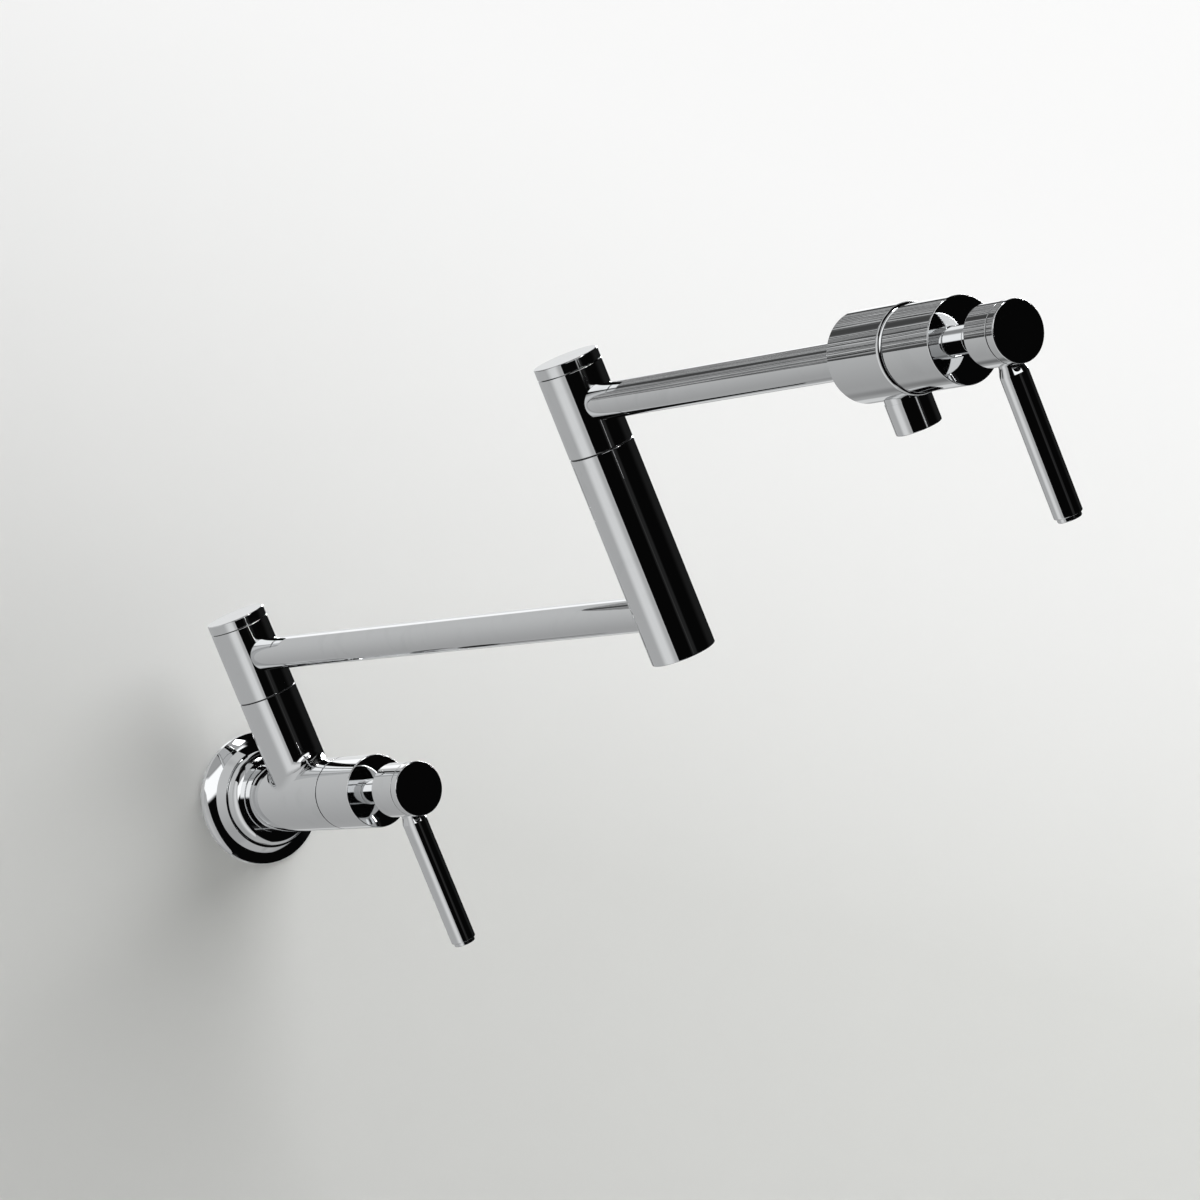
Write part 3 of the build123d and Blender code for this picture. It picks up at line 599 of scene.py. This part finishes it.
hairlines = add(plate_group, "ShaderNodeTexNoise")
feed(plate_group, hairlines.inputs["Vector"], spot)
hairlines.inputs["Scale"].default_value = 2600.0    # marks of about 0.4 mm
hairlines.inputs["Detail"].default_value = 2.0
marked = add(plate_group, "ShaderNodeBump")
feed(plate_group, marked.inputs["Strength"], inlet.outputs["Marks"])
marked.inputs["Distance"].default_value = 0.00005
feed(plate_group, marked.inputs["Height"], hairlines.outputs["Fac"])
feed(plate_group, marked.inputs["Normal"], wavy.outputs["Normal"])
feed(plate_group, outlet.inputs["Normal"], marked.outputs["Normal"])

wiping = add(plate_group, "ShaderNodeTexNoise")
feed(plate_group, wiping.inputs["Vector"], spot)
wiping.inputs["Scale"].default_value = 45.0         # smudges of about 20 mm
wiping.inputs["Detail"].default_value = 6.0
wiping.inputs["Distortion"].default_value = 1.5
wiped = ramp(plate_group, wiping.outputs["Fac"], 0.52, 0.72)
hazy = calc(plate_group, "MULTIPLY", wiped, inlet.outputs["Smudge"])
feed(plate_group, outlet.inputs["Roughness"], calc(plate_group, "ADD", inlet.outputs["Gloss"], hazy))
feed(plate_group, outlet.inputs["Smudge mask"], wiped)
print("plate gives:", [socket.name for socket in outlet.inputs if socket.name])

# %% [markdown]
# ## The chrome itself
#
# Chrome is a metal, so all its light is reflection, and its base colour is the share that it gives
# back. It is a trace bluer than grey. Where it was wiped, it gives back a little less.

# %% Material: polished chrome
def plated(name, light, marks, gloss):
    """Mirror plate that gives back this share of the light. Returns its material."""
    material = bpy.data.materials.new(name)
    material.use_nodes = True
    tree = material.node_tree
    shader = tree.nodes["Principled BSDF"]
    shader.inputs["Metallic"].default_value = 1.0
    plate = place_group(tree, plate_group, marks=marks, gloss=gloss)
    feed(tree, shader.inputs["Roughness"], plate.outputs["Roughness"])
    feed(tree, shader.inputs["Normal"], plate.outputs["Normal"])
    colour = add(tree, "ShaderNodeMix", data_type="RGBA")
    feed(tree, colour.inputs[0], plate.outputs["Smudge mask"])
    colour.inputs[6].default_value = (light, light * 1.008, light * 1.015, 1.0)
    colour.inputs[7].default_value = (light * 0.97, light * 0.98, light * 0.985, 1.0)
    feed(tree, shader.inputs["Base Color"], colour.outputs[2])
    return material


chrome = plated("polished_chrome", chrome_share, marks=0.02, gloss=0.02)
print("chrome gives back", chrome_share, "of the light")

# %% [markdown]
# ## Turned metal
#
# The pieces inside were turned on a lathe and left bare. The tool leaves fine rings round the axis.
# Most of these pieces lie along the line out from the wall, so a noise that changes quickly along
# that line and slowly across it gives such rings without a pattern for each piece. Brass and steel
# share the group. A second noise gives the dull film that bare metal gets in places.

# %% Group: lathe marks
lathe_group, inlet, outlet = new_group(
    "lathe_marks",
    {"Fineness": 9000.0, "Depth": 0.15, "Base": 0.25, "Spread": 0.15},
    {"Roughness": "NodeSocketFloat", "Normal": "NodeSocketVector", "Dull mask": "NodeSocketFloat"},
)
spot = add(lathe_group, "ShaderNodeTexCoord").outputs["Object"]
squeeze = add(lathe_group, "ShaderNodeMapping")
feed(lathe_group, squeeze.inputs["Vector"], spot)
squeeze.inputs["Scale"].default_value = (0.04, 1.0, 0.04)       # slow across, quick along
rings = add(lathe_group, "ShaderNodeTexNoise")
feed(lathe_group, rings.inputs["Vector"], squeeze.outputs[0])
feed(lathe_group, rings.inputs["Scale"], inlet.outputs["Fineness"])
cut = add(lathe_group, "ShaderNodeBump")
feed(lathe_group, cut.inputs["Strength"], inlet.outputs["Depth"])
cut.inputs["Distance"].default_value = 0.00005
feed(lathe_group, cut.inputs["Height"], rings.outputs["Fac"])
feed(lathe_group, outlet.inputs["Normal"], cut.outputs["Normal"])
tarnish = add(lathe_group, "ShaderNodeTexNoise")
feed(lathe_group, tarnish.inputs["Vector"], spot)
tarnish.inputs["Scale"].default_value = 160.0
tarnish.inputs["Detail"].default_value = 5.0
dull = ramp(lathe_group, tarnish.outputs["Fac"], 0.4, 0.7)
spread = calc(lathe_group, "MULTIPLY", dull, inlet.outputs["Spread"])
feed(lathe_group, outlet.inputs["Roughness"], calc(lathe_group, "ADD", inlet.outputs["Base"], spread))
feed(lathe_group, outlet.inputs["Dull mask"], dull)
print("lathe marks give:", [socket.name for socket in outlet.inputs if socket.name])

# %% [markdown]
# ## Brass and steel
#
# Stems, spindles, housings and nuts are bare brass, and the screws and bolts are steel. The two
# differ only in colour and in how rough the tool left them.

# %% Materials: bare brass and steel
def turned(name, bright, dull, base):
    """Bare metal from the lathe, with a dull film in places."""
    material = bpy.data.materials.new(name)
    material.use_nodes = True
    tree = material.node_tree
    shader = tree.nodes["Principled BSDF"]
    shader.inputs["Metallic"].default_value = 1.0
    marks = place_group(tree, lathe_group, base=base)
    feed(tree, shader.inputs["Roughness"], marks.outputs["Roughness"])
    feed(tree, shader.inputs["Normal"], marks.outputs["Normal"])
    colour = add(tree, "ShaderNodeMix", data_type="RGBA")
    feed(tree, colour.inputs[0], marks.outputs["Dull mask"])
    colour.inputs[6].default_value = (*bright, 1.0)
    colour.inputs[7].default_value = (*dull, 1.0)
    feed(tree, shader.inputs["Base Color"], colour.outputs[2])
    return material


brass = turned("bare_brass", (0.80, 0.60, 0.30), (0.55, 0.38, 0.17), base=0.22)
steel = turned("steel", (0.62, 0.62, 0.60), (0.42, 0.42, 0.41), base=0.28)
print("bare metals:", brass.name, steel.name)

# %% [markdown]
# ## Rubber, plastic and ceramic
#
# The seals, the washers and the ceramic discs are matt or satin and evenly coloured. What tells
# them apart is the grain of the surface: rubber comes out of its mould with a fine orange peel,
# plastic is smoother, and a lapped ceramic face is close to a mirror. One noise gives the grain, and
# each material sets how fine and how deep it is.

# %% Group: moulded grain
grain_group, inlet, outlet = new_group(
    "moulded_grain",
    {"Fineness": 1800.0, "Depth": 0.2, "Base": 0.5, "Spread": 0.15},
    {"Roughness": "NodeSocketFloat", "Normal": "NodeSocketVector", "Grain": "NodeSocketFloat"},
)
spot = add(grain_group, "ShaderNodeTexCoord").outputs["Object"]
peel = add(grain_group, "ShaderNodeTexNoise")
feed(grain_group, peel.inputs["Vector"], spot)
feed(grain_group, peel.inputs["Scale"], inlet.outputs["Fineness"])
peel.inputs["Detail"].default_value = 3.0
peeled = add(grain_group, "ShaderNodeBump")
feed(grain_group, peeled.inputs["Strength"], inlet.outputs["Depth"])
peeled.inputs["Distance"].default_value = 0.0001
feed(grain_group, peeled.inputs["Height"], peel.outputs["Fac"])
feed(grain_group, outlet.inputs["Normal"], peeled.outputs["Normal"])
feed(grain_group, outlet.inputs["Grain"], peel.outputs["Fac"])
rough = calc(grain_group, "MULTIPLY", peel.outputs["Fac"], inlet.outputs["Spread"])
feed(grain_group, outlet.inputs["Roughness"], calc(grain_group, "ADD", inlet.outputs["Base"], rough))
print("grain gives:", [socket.name for socket in outlet.inputs if socket.name])

# %% [markdown]
# ## The four soft and fired materials
#
# O-rings, seals and gasket are black rubber. The swivel washers are black plastic, which slides
# without grease. The filter in the outlet is white plastic. The two discs of each valve are ceramic,
# ground so flat that they seal against each other.

# %% Materials: rubber, plastics and ceramic
def moulded(name, dark, light, base, depth, fineness=1800.0):
    """A moulded or fired piece whose colour shifts a little with its grain."""
    material = bpy.data.materials.new(name)
    material.use_nodes = True
    tree = material.node_tree
    shader = tree.nodes["Principled BSDF"]
    grain = place_group(tree, grain_group, base=base, depth=depth, fineness=fineness)
    feed(tree, shader.inputs["Roughness"], grain.outputs["Roughness"])
    feed(tree, shader.inputs["Normal"], grain.outputs["Normal"])
    colour = add(tree, "ShaderNodeMix", data_type="RGBA")
    feed(tree, colour.inputs[0], grain.outputs["Grain"])
    colour.inputs[6].default_value = (*dark, 1.0)
    colour.inputs[7].default_value = (*light, 1.0)
    feed(tree, shader.inputs["Base Color"], colour.outputs[2])
    return material


rubber = moulded("black_rubber", (0.010, 0.010, 0.011), (0.030, 0.030, 0.031), base=0.55, depth=0.3)
black_plastic = moulded(
    "black_plastic", (0.012, 0.012, 0.013), (0.025, 0.025, 0.026), base=0.35, depth=0.1)
white_plastic = moulded("white_plastic", (0.66, 0.66, 0.64), (0.78, 0.78, 0.76), base=0.35, depth=0.1)
ceramic = moulded(
    "ceramic", (0.74, 0.73, 0.70), (0.86, 0.85, 0.83), base=0.12, depth=0.05, fineness=6000.0)
print("grained:", [material.name for material in (rubber, black_plastic, white_plastic, ceramic)])

# %% [markdown]
# ## Dressing the pieces
#
# Each piece of the construction model carries a plain material with the name of its finish. The
# finish made above takes its place, on every piece, and nothing else of the piece changes.

# %% Put the finishes on
finishes = {
    "polished_chrome": chrome, "bare_brass": brass, "steel": steel, "ceramic": ceramic,
    "black_rubber": rubber, "black_plastic": black_plastic, "white_plastic": white_plastic,
}
record_slots = {material["slot"] for material in frame["record"]["materials"]}
for piece in nodes.values():
    for holder in piece.material_slots:
        holder.material = finishes[holder.material.name.split(".")[0]]
print("finishes of the record without a material:", sorted(record_slots - set(finishes)))
